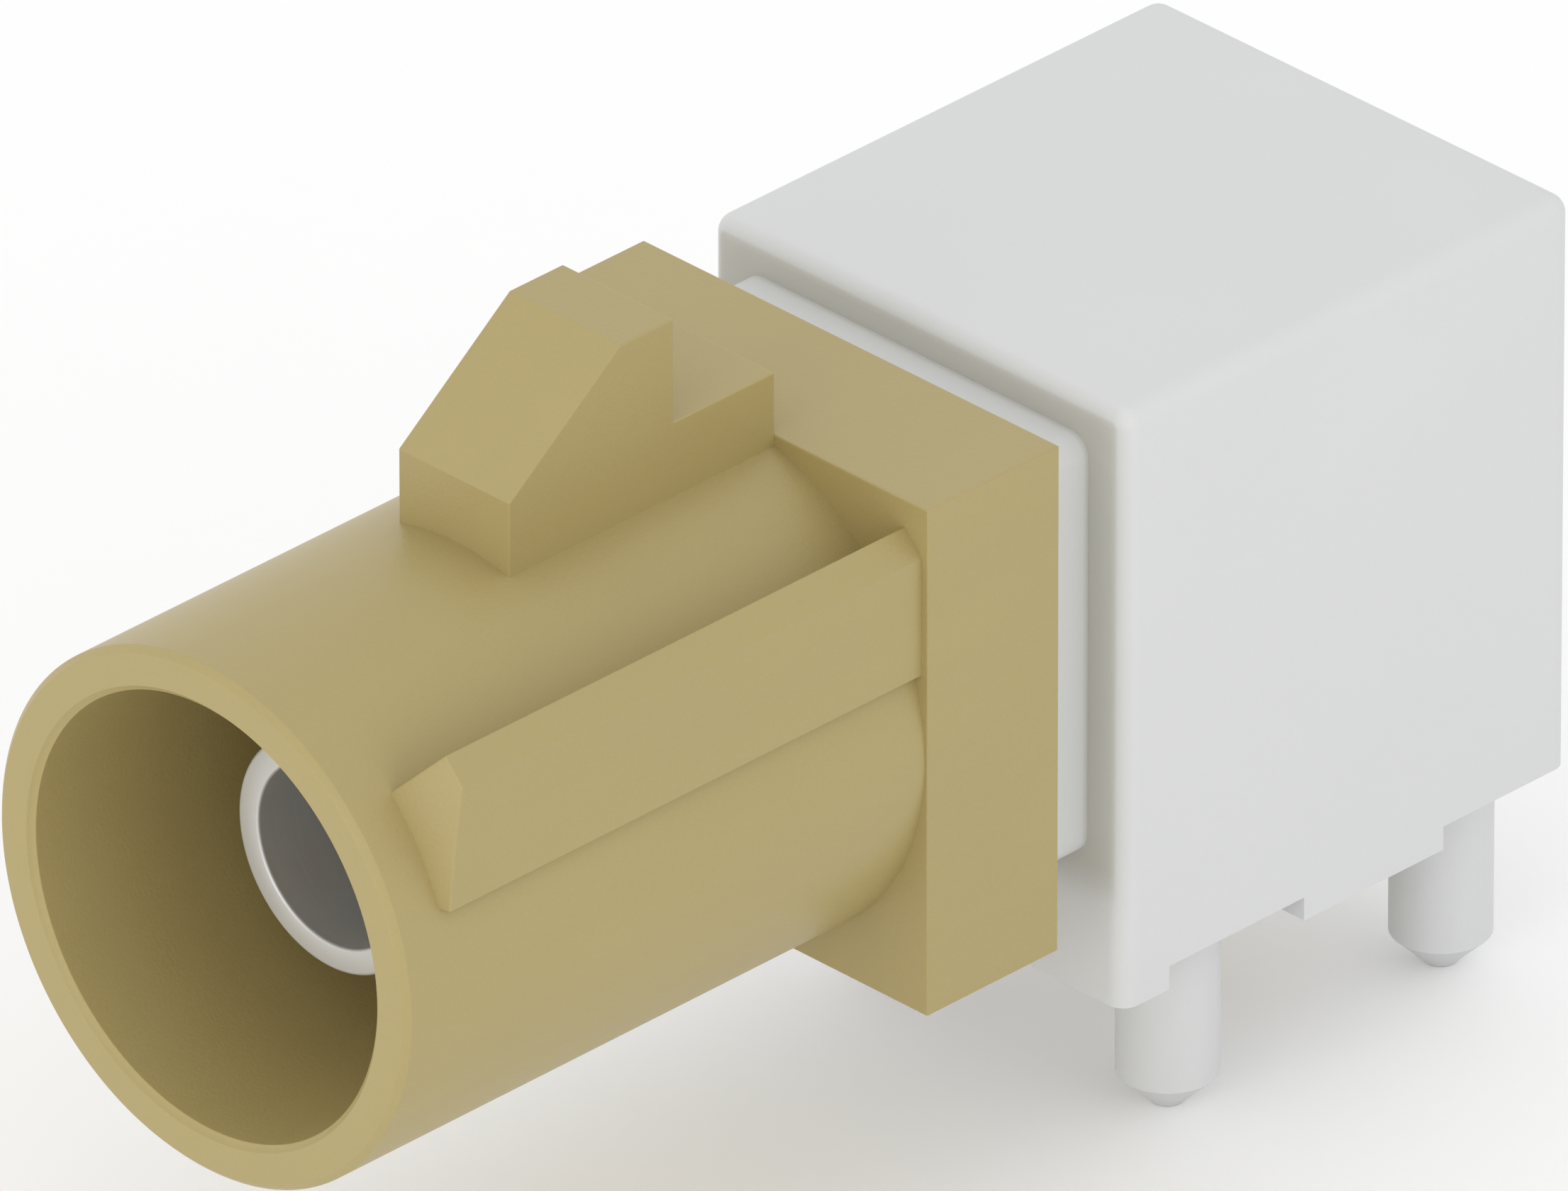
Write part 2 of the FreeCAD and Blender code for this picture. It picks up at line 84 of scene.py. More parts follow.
class ShroudSizes(PropertyGroup):
    """Lengths of the moulded shroud, ahead of the flange's back and out from the contact axis."""

    edge: length("Edge", "Rounding of the moulded edges", 0.03)
    tube: length("Tube", "Radius of the tube, outside", 4.2)
    bore: length("Bore", "Radius of the tube, inside", 3.5)
    mouth: length("Mouth", "Open end of the tube", 13.2)
    bevel: length("Bevel", "Bevels at the mouth, inside and outside, 45 degrees", 0.1)
    web: length("Web", "Front of the wall that the spigot snaps through", 3.4)
    hole: length("Hole", "Radius of the hole for the spigot", 2.53)
    flange_width: length("Flange width", "Flange across", 8.5)
    flange_height: length("Flange height", "Flange up and down", 8.44)
    flange: length("Flange", "Front of the flange", 2.69)
    socket: length("Socket", "Square socket for the neck, across its flats", 7.06)
    socket_corner: length("Socket corner", "Rounding of the socket's corners", 0.35)
    socket_depth: length("Socket depth", "Floor of the socket", 1.8)
    nose_width: length("Nose width", "Latch nose across", 2.26)
    nose_front: length("Nose front", "Front of the latch nose", 8.08)
    nose_rib: length("Nose rib", "Top of the nose's rib", 5.27)
    nose_crest: length("Nose crest", "Crest of the nose", 6.98)
    crest_front: length("Crest front", "Front of the crest", 5.83)
    crest_back: length("Crest back", "Back of the crest", 4.745)
    key: length("Key", "Round outer edge of a coding rib", 5.34)
    key_side: length("Key side", "Flat side of a coding rib", 4.13)
    key_foot: length("Key foot", "Lower face of a coding rib", 1.43)
    key_front: length("Key front", "Foot of a coding rib's lead-in", 12.3)
    key_slope: tilt("Key slope", "Slope of a coding rib's lead-in", 15.0)


class ContactSizes(PropertyGroup):
    """Lengths of the turned outer contact, ahead of the flange's back and out from its axis."""

    edge: length("Edge", "Rounding of the turned edges", 0.05)
    outer: length("Outer", "Radius outside", 1.85)
    inner: length("Inner", "Radius inside", 1.44)
    front: length("Front", "Front end", 10.64)
    back: length("Back", "End that is seated in the block", -3.0)
    groove_front: length("Groove front", "Front edge of the snap groove", 9.44)
    groove_back: length("Groove back", "Back edge of the snap groove", 8.64)
    groove_depth: length("Groove depth", "Depth of the snap groove", 0.13)


class FinishSizes(PropertyGroup):
    """Lengths of the surface finishes."""

    plastic_grain: length("Plastic grain", "Grain that the mould leaves on the shroud", 0.06)
    cast_grain: length("Cast grain", "Grain under the plating of the block", 0.09)
    turning_pitch: length("Turning pitch", "Distance between two tool lines on a contact", 0.09)


class PlugColours(PropertyGroup):
    """Colours of the finishes."""

    shroud: paint("Shroud", "Beige moulded plastic", (0.428, 0.343, 0.141))
    casting: paint("Casting", "Matt plating of block, neck and posts", (0.705, 0.713, 0.711))
    contact: paint("Outer contact", "Plating of the turned outer contact", (0.73, 0.73, 0.72))
    gold: paint("Gold", "Plating of the mating pin and the signal tail", (0.83, 0.62, 0.26))
    insulator: paint("Insulator", "Off-white fluoropolymer", (0.80, 0.80, 0.78))
    cap: paint("Rear cap", "Plating of the pressed-in cap", (0.68, 0.69, 0.68))
    floor: paint("Floor", "Paper under the plug", (0.92, 0.92, 0.92))


class PlugStage(PropertyGroup):
    """Camera and light."""

    azimuth: tilt("Azimuth", "Camera's turn from straight in front of the mouth", 45.0)
    elevation: tilt("Elevation", "Camera's height above the horizon", 30.0)
    frame_width: FloatProperty(
        name="Frame width", description="Width of the picture where the plug stands",
        default=22.74 * MM, min=1.0 * MM, subtype="DISTANCE", unit="LENGTH", precision=5)
    lens: FloatProperty(
        name="Lens", description="Focal length in millimetres; a long one keeps edges parallel",
        default=1200.0, min=50.0, max=5000.0)
    sky: FloatProperty(
        name="Sky", description="Even light from all round", default=0.925, min=0.0, max=2.0)
    key: lamp_power("Key lamp", "Power of the large soft lamp before the mouth", 0.044)
    fill: lamp_power("Fill lamp", "Power of the large soft lamp at the side", 0.019)


# Shader maths

class Term:
    """One socket of a node tree. Arithmetic on it adds Math nodes, and node adds any other kind.
    A term without a socket only adds nodes."""

    def __init__(self, tree, socket=None):
        self.tree = tree
        self.socket = socket

    def node(self, kind, settings=None, inputs=None, output=0):
        """Adds a node: its settings first, then its sockets' values or links."""
        made = self.tree.nodes.new(kind)
        for name, value in (settings or {}).items():
            setattr(made, name, value)
        for name, value in (inputs or {}).items():
            if isinstance(value, Term):
                self.tree.links.new(value.socket, made.inputs[name])
            else:
                made.inputs[name].default_value = value
        return Term(self.tree, made.outputs[output]) if made.outputs else None

    def beside(self, output):
        """Another output of the same node."""
        return Term(self.tree, self.socket.node.outputs[output])

    def math(self, operation, a, b):
        """A Math node of two terms or numbers."""
        return self.node("ShaderNodeMath", {"operation": operation}, {0: a, 1: b})

    def __add__(self, other):
        return self.math("ADD", self, other)

    def __radd__(self, other):
        return self.math("ADD", other, self)

    def __sub__(self, other):
        return self.math("SUBTRACT", self, other)

    def __rsub__(self, other):
        return self.math("SUBTRACT", other, self)

    def __mul__(self, other):
        return self.math("MULTIPLY", self, other)

    def __rmul__(self, other):
        return self.math("MULTIPLY", other, self)


def emptied(owner):
    """A term that adds nodes to the emptied tree of a new material or world."""
    owner.use_nodes = True
    owner.node_tree.nodes.clear()
    return Term(owner.node_tree)


def new_material(name):
    """A material without nodes, and the term that adds them."""
    material = bpy.data.materials.new(name)
    return material, emptied(material)


def close_material(start, sockets):
    """Adds the shader with its sockets' values or links, and links it to the output."""
    surface = start.node("ShaderNodeBsdfPrincipled", None, sockets)
    start.node("ShaderNodeOutputMaterial", None, {"Surface": surface})


def object_place(start):
    """Object coordinates, which are the frame's own, in metres."""
    return start.node("ShaderNodeTexCoord", output="Object")


def scaled(start, place, factors):
    """A place with its x, y and z multiplied by three factors."""
    return start.node("ShaderNodeMapping", None, {"Vector": place, "Scale": factors})


def distance_from(start, place, point):
    """How far a place lies from a point."""
    return start.node("ShaderNodeVectorMath", {"operation": "DISTANCE"}, {0: place, 1: point},
                      output="Value")


def noise(start, place, scale=1.0, detail=2.0, roughness=0.5):
    """Noise from 0 to 1 about a middle of a half, with about scale lumps to one unit of place."""
    return start.node("ShaderNodeTexNoise", None, {
        "Vector": place, "Scale": scale, "Detail": detail, "Roughness": roughness})


def bump(start, height, strength, depth):
    """A normal tilted by a height, of which 1 stands for the depth."""
    return start.node("ShaderNodeBump", None, {
        "Strength": strength, "Distance": depth, "Height": height})


def grey(level):
    """A grey as four numbers."""
    return (level, level, level, 1.0)


def shade(colour, factor):
    """A colour made lighter or darker, as four numbers."""
    return tuple(min(1.0, c * factor) for c in colour) + (1.0,)


def blend(start, factor, a, b):
    """Mixes two colours."""
    return start.node("ShaderNodeMix", {"data_type": "RGBA"}, {0: factor, 6: a, 7: b}, output=2)


def mottled(start, pattern, colour, spread):
    """A colour that a pattern from 0 to 1 makes darker and lighter by the spread."""
    return blend(start, pattern, shade(colour, 1.0 - spread), shade(colour, 1.0 + spread))


def step(start, value, low, high):
    """Nothing up to low, one from high on and smooth between them."""
    return start.node("ShaderNodeMapRange", {"interpolation_type": "SMOOTHSTEP"}, {
        "Value": value, "From Min": low, "From Max": high, "To Min": 0.0, "To Max": 1.0})


def bored(start, place, bore, inside, outside):
    """One colour down a bore and another outside it. bore gives the two distances from the
    contact axis between which the one goes over into the other."""
    across = scaled(start, place, (1.0, 0.0, 1.0))
    distance = distance_from(start, across, (0.0, 0.0, AXIS_HEIGHT))
    return blend(start, step(start, distance, *bore), inside, outside)


# Finishes

# Tones down a bore against those outside it: painted shade darkens the plating there, and
# painted light lightens the plastic there
PLATED_BORE_SHADE = 0.75
MOULDED_BORE_LIGHT = 1.12

# Painted shade in the corner between neck and block, where flange and neck shade the block's
# front face: its tone, the block's front face, and where the painted shade comes in along the
# neck, goes out on the block's rounded edge and comes in upwards, from under the neck
CORNER_SHADE_TONE = (0.88, 0.87, 0.82)
BLOCK_FRONT = -5.2 * MM
SHADE_ON_NECK = (BLOCK_FRONT - 0.12 * MM, BLOCK_FRONT)
SHADE_ON_BLOCK = (BLOCK_FRONT + 0.005 * MM, BLOCK_FRONT + 0.03 * MM)
SHADE_UPWARDS = (1.6 * MM, 2.3 * MM)

# Pace of the marks along x, y and z: flow marks to the metre, and tool lines to a pitch
FLOW_ALONG_TUBE = (1400.0, 170.0, 1400.0)
TURNED_ABOUT_Y = (0.05, 1.0, 0.05)
TURNED_ABOUT_Z = (0.05, 0.05, 1.0)
ACROSS_DISC = (1.0, 0.1, 1.0)


def moulded_plastic(colours, sizes, bore):
    """Beige plastic: faint clouds and flow marks in the colour, the fine grain of a spark-cut
    mould, and painted light that lightens the tone down the bore."""
    material, start = new_material("moulded_plastic")
    place = object_place(start)
    clouds = noise(start, place, 260.0, detail=3.0)
    flow = noise(start, scaled(start, place, FLOW_ALONG_TUBE))
    grain = noise(start, place, 1.0 / sizes.plastic_grain, roughness=0.6)
    tint = clouds * 0.35 + flow * 0.25 + grain * 0.4
    # The plastic's colour lightened by painted light down the bore
    painted_light_core = tuple(c * MOULDED_BORE_LIGHT for c in colours.shroud)
    close_material(start, {
        "Base Color": bored(start, place, bore, mottled(start, tint, painted_light_core, 0.08),
                            mottled(start, tint, colours.shroud, 0.08)),
        "Roughness": 0.34 + grain * 0.10,
        "IOR": 1.5,
        "Normal": bump(start, grain + flow * 0.5, strength=0.22, depth=0.02 * MM)})
    return material


def plated_casting(colours, sizes):
    """Matt plating over a fine cast skin: cloudy in tone, with a soft grain, and painted shade
    that darkens the corner between neck and block."""
    material, start = new_material("plated_casting")
    place = object_place(start)
    clouds = noise(start, place, 320.0, detail=3.0)
    grain = noise(start, place, 1.0 / sizes.cast_grain, detail=3.0, roughness=0.55)
    marks = clouds * 0.6 + grain * 0.4
    y = start.node("ShaderNodeSeparateXYZ", None, {"Vector": place}, output="Y")
    # Mask of the painted shade in the corner between neck and block
    corner = (step(start, y, *SHADE_ON_NECK) * (1.0 - step(start, y, *SHADE_ON_BLOCK))
              * step(start, y.beside("Z"), *SHADE_UPWARDS))
    # The block's colour darkened by painted shade
    shaded_colour = tuple(c * tone for c, tone in zip(colours.casting, CORNER_SHADE_TONE))
    close_material(start, {
        "Base Color": blend(start, corner, mottled(start, marks, colours.casting, 0.03),
                            mottled(start, marks, shaded_colour, 0.03)),
        "Roughness": 0.50 + grain * 0.14,
        "IOR": 1.5,
        "Normal": bump(start, grain + clouds * 0.6, strength=0.14, depth=0.02 * MM)})
    return material


def turned_metal(name, colour, pitch, stretch, metallic, rough, bore=None):
    """Turned and plated metal with tool lines a pitch apart, whose pace along x, y and z stretch
    gives. Where the piece has a bore, painted shade darkens the plating down it."""
    material, start = new_material(name)
    place = object_place(start)
    tool = noise(start, scaled(start, place, tuple(s / pitch for s in stretch)), roughness=0.6)
    clouds = noise(start, place, 700.0)
    marks = tool * 0.5 + clouds * 0.5
    tone = mottled(start, marks, colour, 0.07)
    if bore:
        # The plating's colour darkened by painted shade down the bore
        shaded_colour = tuple(c * PLATED_BORE_SHADE for c in colour)
        tone = bored(start, place, bore, mottled(start, marks, shaded_colour, 0.07), tone)
    close_material(start, {
        "Base Color": tone,
        "Roughness": rough - 0.05 + tool * 0.10,
        "Metallic": metallic,
        "IOR": 1.5,
        "Normal": bump(start, tool, strength=0.25, depth=0.01 * MM)})
    return material


def fluoropolymer(colours):
    """Off-white, slightly waxy plastic with faint turning marks."""
    material, start = new_material("fluoropolymer")
    place = object_place(start)
    clouds = noise(start, place, 900.0, detail=3.0)
    fine = noise(start, place, 9000.0)
    close_material(start, {
        "Base Color": blend(start, clouds, shade(colours.insulator, 0.96),
                            shade(colours.insulator, 1.03)),
        "Roughness": 0.32 + clouds * 0.12,
        "Normal": bump(start, fine, strength=0.12, depth=0.01 * MM)})
    return material


def dress(node, material):
    """Gives a CAD node its material in every slot."""
    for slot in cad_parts[node].material_slots:
        slot.material = material


# Surfaces

# Points nearer than this are merged, and edges past this angle are shaded sharp
WELD = 0.0001 * MM
CREASE = math.radians(35.0)

# Points on the arc of a rounded edge, and on that of a flange's or socket's corner
EDGE_POINTS = 5
CORNER_POINTS = 9


def rounded(corners, radius):
    """The points of a closed outline with rounded corners, and the outward normal at each.

    Where the outline turns by t, an arc of the radius r starts r tan(t / 2) before the corner,
    or 0.45 of the shorter side where that is less. Its normals are n cos s + d sin s for s from
    0 to t, with the coming side's direction d and normal n. Its points lie r from its centre
    along them, or against them where the outline turns inwards.
    """
    corner = np.asarray(corners, float)
    x, y = corner.T
    if np.sum(x * np.roll(y, -1) - y * np.roll(x, -1)) < 0.0:
        corner = corner[::-1]
    side = np.roll(corner, -1, axis=0) - corner
    run = np.linalg.norm(side, axis=1, keepdims=True)
    leaving = side / run
    coming = np.roll(leaving, 1, axis=0)
    normal = np.stack([coming[:, 1], -coming[:, 0]], axis=1)
    turn = np.arctan2(-np.sum(leaving * normal, axis=1), np.sum(leaving * coming, axis=1))[:, None]
    half = np.tan(np.abs(turn) / 2.0)
    foot = np.minimum(radius * half, 0.45 * np.minimum(run, np.roll(run, 1, axis=0)))
    bend = np.where(turn < 0.0, -1.0, 1.0)
    reach = bend * foot / np.maximum(half, 1e-9)
    centre = corner - coming * foot - normal * reach
    s = (turn * np.linspace(0.0, 1.0, EDGE_POINTS))[..., None]
    normals = normal[:, None] * np.cos(s) + coming[:, None] * np.sin(s)
    points = centre[:, None] + reach[:, None] * normals
    return points.reshape(-1, 2), normals.reshape(-1, 2)


def in_place(across, ahead, up):
    """Points of the shroud or a contact in the frame: x is across, y is the flange's back less
    ahead, and z is the axis height plus up."""
    across, ahead, up = np.broadcast_arrays(across, ahead, up)
    return np.stack([across, FLANGE_BACK - ahead, AXIS_HEIGHT + up], axis=-1)


def grid_faces(rows, columns, closed):
    """Quads of a grid whose columns close into a ring, and its rows too where closed is true."""
    first = np.arange(rows if closed else rows - 1)
    i, j = np.meshgrid(first, np.arange(columns), indexing="ij")
    below, beside = (i + 1) % rows, (j + 1) % columns
    corners = [i * columns + j, i * columns + beside, below * columns + beside, below * columns + j]
    return np.stack(corners, axis=-1).reshape(-1, 4)


def ring_shell(points):
    """A shell from a grid of points that closes both ways."""
    rows, columns = points.shape[:2]
    return points.reshape(-1, 3), [grid_faces(rows, columns, True)]


def turned(profile, edge, spokes):
    """A closed profile turned about the contact axis: at the angle t its point (a, r) lies
    r sin t across, a ahead and r cos t up."""
    outline, _ = rounded(profile, edge)
    ahead, radius = outline[:, :1], outline[:, 1:]
    angle = np.linspace(0.0, 2.0 * math.pi, spokes, endpoint=False)[None, :]
    return ring_shell(in_place(radius * np.sin(angle), ahead, radius * np.cos(angle)))


def prism(corners, edge, place, start, stop, rungs=False):
    """An outline carried along a straight line, with rounded sides and ends.

    For t from 0 to a right angle, the outline's points lie e (1 - cos t) in along their normals
    where the ends come back by e (1 - sin t). start and stop give an end from the outline's
    points. An end is one face, or with rungs a ladder of faces from the outline's first half to
    its second.
    """
    outline, normals = rounded(corners, edge)
    t = np.linspace(0.0, math.pi / 2.0, EDGE_POINTS)[:, None, None]
    rings = outline[None] - normals[None] * edge * (1.0 - np.cos(t))
    drop = edge * (1.0 - np.sin(t))[..., 0]
    flat = rings.shape[:2]
    along = np.concatenate([np.broadcast_to(start(rings) + drop, flat)[::-1],
                            np.broadcast_to(stop(rings) - drop, flat)])
    rings = np.concatenate([rings[::-1], rings])
    rows, columns = rings.shape[:2]
    points = place(rings[..., 0], rings[..., 1], along)
    if rungs:
        i = np.arange(columns // 2 - 1)
        cap = np.stack([i, i + 1, columns - 2 - i, columns - 1 - i], axis=-1)
    else:
        cap = np.arange(columns)[None, :]
    sides = grid_faces(rows, columns, False)
    return points.reshape(-1, 3), [sides, cap[:, ::-1], cap + (rows - 1) * columns]


def six_volumes(points, faces):
    """Six times the signed volume under faces, each fanned into triangles from its first corner."""
    b, c = points[faces[:, 1:-1]], points[faces[:, 2:]]
    a = np.broadcast_to(points[faces[:, :1]], b.shape)
    return float(np.sum(a * np.cross(b, c)))


def weld(mesh):
    """Merges a mesh's doubled points, and stops at a mesh that isn't closed."""
    work = bmesh.new()
    work.from_mesh(mesh)
    bmesh.ops.remove_doubles(work, verts=work.verts, dist=WELD)
    if any(len(edge.link_faces) != 2 for edge in work.edges):
        raise RuntimeError(f"the skin of {mesh.name} isn't closed")
    work.to_mesh(mesh)
    work.free()


def skin(name, shell):
    """A mesh from a closed shell, with its faces looking out and its doubled points merged."""
    points, groups = shell
    outward = sum(six_volumes(points, group) for group in groups) > 0.0
    faces = [face for group in groups for face in (group if outward else group[:, ::-1]).tolist()]
    mesh = bpy.data.meshes.new(name)
    mesh.from_pydata(points.tolist(), [], faces)
    weld(mesh)
    return mesh


def new_object(name, data):
    """An object with its data, linked to the scene."""
    made = bpy.data.objects.new(name, data)
    bpy.context.scene.collection.objects.link(made)
    return made


def joined(name, shells):
    """One closed skin round overlapping shells: a union keeps none of the walls inside."""
    parts = [new_object(name, skin(name, shell)) for shell in shells]
    for part in parts[1:]:
        union = parts[0].modifiers.new("union", "BOOLEAN")
        union.operation, union.solver, union.object = "UNION", "MANIFOLD", part
    graph = bpy.context.evaluated_depsgraph_get()
    mesh = bpy.data.meshes.new_from_object(parts[0].evaluated_get(graph))
    # Each removed mesh takes its object along
    for used in [part.data for part in parts]:
        bpy.data.meshes.remove(used)
    weld(mesh)
    return mesh


def new_piece(name, shells, node, material):
    """One object from closed shells, in the place of a CAD node."""
    mesh = joined(name, shells)
    mesh.shade_smooth()
    mesh.set_sharp_from_angle(angle=CREASE)
    mesh.materials.clear()
    mesh.materials.append(material)
    piece = new_object(name, mesh)
    even = piece.modifiers.new("even_faces", "WEIGHTED_NORMAL")
    even.keep_sharp = True
    even.weight = 100
    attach(piece, "root")
    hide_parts(node)


def inside_wall(s):
    """Radius in the middle of the tube's wall, where the shroud's shells overlap."""
    return (s.tube + s.bore) / 2.0


def inside_flange(s):
    """Place ahead in the middle of the flange's floor, where the shroud's shells overlap."""
    return (s.socket_depth + s.flange) / 2.0


def tube_shell(s):
    """Tube with bevelled mouth, and the web with the hole for the spigot."""
    foot = inside_flange(s)
    return turned([
        (foot, s.hole), (foot, s.tube),
        (s.mouth - s.bevel, s.tube), (s.mouth, s.tube - s.bevel),
        (s.mouth, s.bore + s.bevel), (s.mouth - s.bevel, s.bore),
        (s.web, s.bore), (s.web, s.hole),
    ], s.edge, spokes=160)


def flange_shell(s):
    """Square flange with the socket for the neck, as rings of rounded rectangles.

    A ring with the half sides w and h and the corner radius r, ahead of the flange's back by a,
    has at the angle t of a corner the point w - r + r cos t across and h - r + r sin t up. A
    circle has w = h = r.
    """
    e, wall = s.edge, inside_wall(s)
    w, h, half = s.flange_width / 2.0, s.flange_height / 2.0, s.socket / 2.0
    t = np.linspace(0.0, math.pi / 2.0, EDGE_POINTS)
    cos, sin = np.cos(t), np.sin(t)
    lead_in = half + e - e * cos
    rings = np.concatenate([
        [[s.hole, s.hole, s.hole, s.socket_depth], [half, half, s.socket_corner, s.socket_depth]],
        np.stack([lead_in, lead_in, s.socket_corner + e - e * cos, e - e * sin], axis=1),
        np.stack([w - e + e * sin, h - e + e * sin, e * sin, e - e * cos], axis=1),
        np.stack([w - e + e * cos, h - e + e * cos, e * cos, s.flange - e + e * sin], axis=1),
        [[wall, wall, wall, s.flange], [s.hole, s.hole, s.hole, inside_flange(s)]],
    ])
    width, height, radius, ahead = (rings[:, i, None, None] for i in range(4))
    quarter = np.arange(4)[None, :, None]
    angle = (quarter + np.linspace(0.0, 1.0, CORNER_POINTS)[None, None, :]) * math.pi / 2.0
    side = np.where((quarter == 0) | (quarter == 3), 1.0, -1.0)
    top = np.where(quarter < 2, 1.0, -1.0)
    across = side * (width - radius) + radius * np.cos(angle)
    up = top * (height - radius) + radius * np.sin(angle)
    points = in_place(across, ahead, up)
    return ring_shell(points.reshape(len(rings), -1, 3))


def nose_shell(s):
    """Latch nose: a rib on the tube with a tooth whose front slopes down to the rib."""
    wall, foot = inside_wall(s), inside_flange(s)
    flange_edge = s.flange_height / 2.0 - s.edge
    profile = [
        (foot, wall), (foot, flange_edge), (s.flange, flange_edge),
        (s.flange, s.nose_rib), (s.crest_back, s.nose_rib), (s.crest_back, s.nose_crest),
        (s.crest_front, s.nose_crest), (s.nose_front, s.nose_rib), (s.nose_front, wall),
    ]
    half = s.nose_width / 2.0
    return prism(profile, s.edge, lambda ahead, up, across: in_place(across, ahead, up),
                 lambda outline: -half, lambda outline: half)


def key_shell(s, side):
    """Coding rib: level foot, flat side, round outer edge and a face that points at the axis.
    side is 1 for the upper right rib and -1 for the lower left one, half a turn round the tube.

    At the angle t above level, the outer points are min(R, w / cos t) from the axis, with the
    round edge's radius R and the flat side's distance w: five up the flat side and three more
    round the edge. The lead-in falls back by the slope times the distance from the tube.
    """
    wall, foot = inside_wall(s), inside_flange(s)
    top = math.acos(s.key_side / s.key)
    angle = np.append(np.linspace(math.atan(s.key_foot / s.key_side), top, 5),
                      np.linspace(top, math.pi / 4.0, 4)[1:])
    outer = np.minimum(s.key, s.key_side / np.cos(angle))
    inner_angle = np.maximum(angle, math.asin(s.key_foot / wall))
    outer_side = np.stack([outer * np.cos(angle), outer * np.sin(angle)], axis=1)
    inner_side = wall * np.stack([np.cos(inner_angle), np.sin(inner_angle)], axis=1)
    slope = math.tan(s.key_slope)
    return prism(np.concatenate([outer_side, inner_side[::-1]]), s.edge,
                 lambda across, up, ahead: in_place(side * across, ahead, side * up),
                 lambda outline: foot,
                 lambda outline: s.key_front - slope * (np.linalg.norm(outline, axis=-1) - s.tube),
                 rungs=True)


def contact_shell(s):
    """Turned sleeve with a snap groove behind its front end."""
    bottom = s.outer - s.groove_depth
    return turned([
        (s.back, s.inner), (s.back, s.outer),
        (s.groove_back, s.outer), (s.groove_back + s.groove_depth, bottom),
        (s.groove_front - s.groove_depth, bottom), (s.groove_front, s.outer),
        (s.front, s.outer), (s.front, s.inner),
    ], s.edge, spokes=128)


# Stage

PLUG_MIDDLE = Vector((0.0, -7.8 * MM, 4.9 * MM))
FLOOR_MIDDLE = (PLUG_MIDDLE.x, PLUG_MIDDLE.y, -3.01 * MM)
FLOOR_RADIUS = 60.0 * MM

# Distances from its middle between which the floor fades, and the glow that brings its paper up
# to the white behind it
FLOOR_FADE = (0.35 * FLOOR_RADIUS, 0.95 * FLOOR_RADIUS)
PAPER_GLOW = 0.12

# Side and place of the two square lamps
KEY_LAMP = (90.0 * MM, (0.025, -0.17, 0.03))
FILL_LAMP = (110.0 * MM, (0.16, -0.03, 0.03))

# How far right of the frame's origin and above it the camera's line of sight runs
SIGHT_RIGHT = -5.6 * MM
SIGHT_UP = 2.725 * MM


def floor_disc():
    """A flat disc: a ring of the radius r has at the angle a the point (r cos a, r sin a) from
    the middle, which a fan of triangles joins to the first ring."""
    rings, spokes = 23, 96
    radius = np.linspace(0.0, FLOOR_RADIUS, rings + 1)[1:, None]
    angle = np.linspace(0.0, 2.0 * math.pi, spokes, endpoint=False)[None, :]
    level = np.zeros((rings, spokes))
    grid = np.stack([radius * np.cos(angle), radius * np.sin(angle), level], axis=-1)
    points = np.vstack([np.zeros((1, 3)), grid.reshape(-1, 3)]) + FLOOR_MIDDLE
    quads = 1 + grid_faces(rings, spokes, False)[:, ::-1]
    k = np.arange(spokes)
    fans = np.stack([np.zeros_like(k), 1 + k, 1 + (k + 1) % spokes], axis=-1)
    mesh = bpy.data.meshes.new("floor")
    mesh.from_pydata(points.tolist(), [], fans.tolist() + quads.tolist())
    return new_object("floor", mesh)


def seen(start):
    """One for a camera, glossy or transmission ray, and nothing for the light's own rays."""
    camera = start.node("ShaderNodeLightPath", output="Is Camera Ray")
    rays = camera + camera.beside("Is Glossy Ray") + camera.beside("Is Transmission Ray")
    return start.math("MINIMUM", rays, 1.0)


def floor_paper(colours):
    """Pale paper that keeps the plug's shadow and fades into the backdrop before its edge."""
    material, start = new_material("floor_paper")
    place = object_place(start)
    away = distance_from(start, place, FLOOR_MIDDLE)
    fibre = noise(start, place, 1500.0, detail=3.0)
    close_material(start, {
        "Base Color": mottled(start, fibre, colours.floor, 0.005),
        "Roughness": 0.9,
        "Specular IOR Level": 0.0,
        "Alpha": 1.0 - step(start, away, *FLOOR_FADE),
        "Emission Color": blend(start, seen(start), grey(0.0), grey(PAPER_GLOW)),
        "Emission Strength": 1.0})
    return material


def backdrop(level):
    """White where the camera looks, and an even grey sky for the light itself."""
    world = bpy.data.worlds.new("backdrop")
    start = emptied(world)
    colour = blend(start, seen(start), grey(level), grey(1.0))
    light = start.node("ShaderNodeBackground", None, {"Color": colour, "Strength": 1.0})
    start.node("ShaderNodeOutputWorld", None, {"Surface": light})
    bpy.context.scene.world = world


def lamp(name, power, size, place):
    """A square soft lamp that looks at the middle of the plug."""
    data = bpy.data.lights.new(name, "AREA")
    data.energy = power
    data.size = size
    made = new_object(name, data)
    made.location = place
    made.rotation_mode = "QUATERNION"
    made.rotation_quaternion = (PLUG_MIDDLE - Vector(place)).to_track_quat("-Z", "Y")


